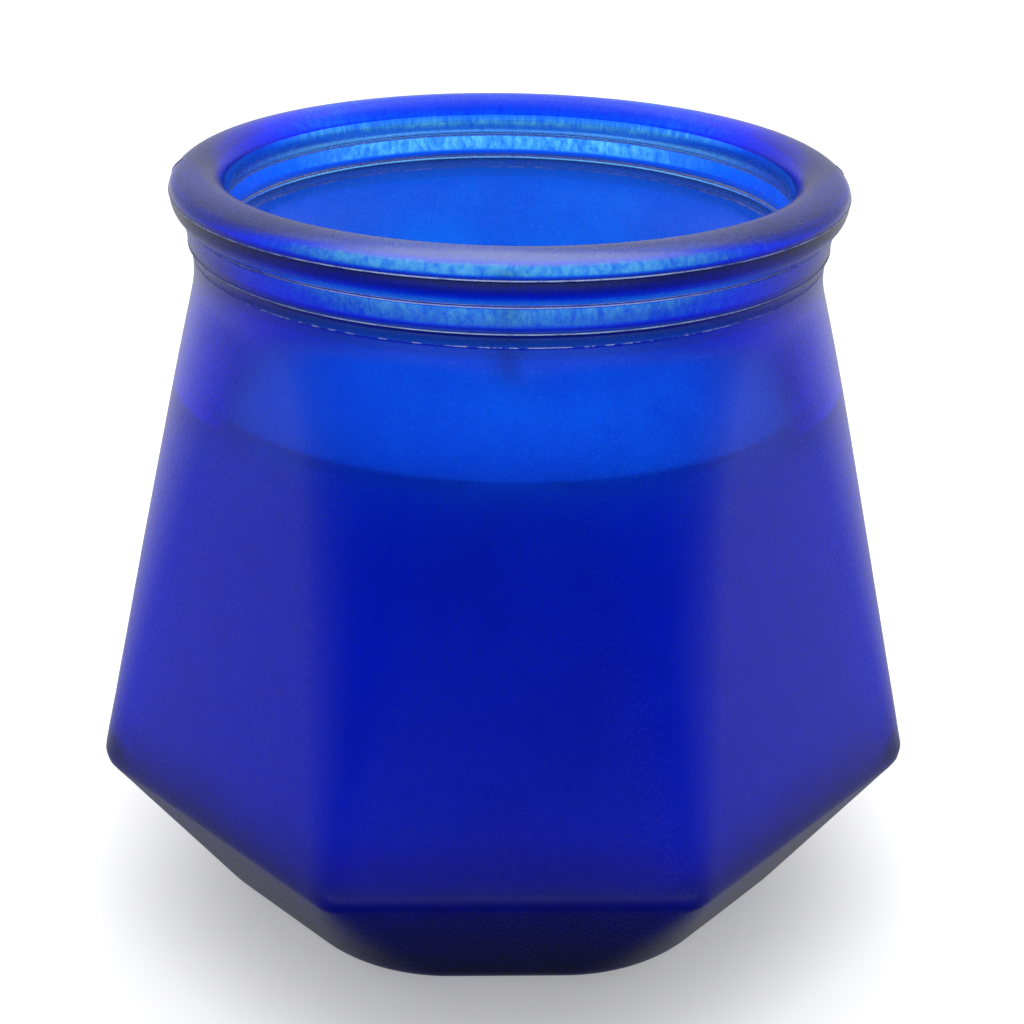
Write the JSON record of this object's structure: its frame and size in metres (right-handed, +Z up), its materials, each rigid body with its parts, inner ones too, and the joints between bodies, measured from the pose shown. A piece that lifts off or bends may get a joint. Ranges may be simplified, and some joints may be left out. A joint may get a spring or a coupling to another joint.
{
  "type": "faceted glass container candle",
  "caption": "Faceted frosted blue glass jar with a rounded rim, poured wax fill and a single wick; free-standing container candle.",
  "frame": {"origin": "centre of the foot's bearing plane, on the jar's axis", "axes": "+Z up along the jar's axis; +X, -X, +Y and -Y each square to a flat of the eight-sided body, the front flat facing -Y"},
  "size_m": [0.0966, 0.0966, 0.0903],
  "materials": {
    "frosted_blue_glass": "frosted translucent cobalt coating over clear pressed glass, satin",
    "candle_wax": "undyed candle wax, waxy satin",
    "cotton_wick": "braided cotton, waxed",
    "tinned_steel": "bright tinplate",
    "foam_sticker": "white double-sided foam pad"
  },
  "bodies": {
    "root": {"glass_jar": "frosted_blue_glass", "wax_fill": "candle_wax", "wick": "cotton_wick", "wick_sustainer": "tinned_steel", "sustainer_sticker": "foam_sticker"}
  },
  "joints": []
}
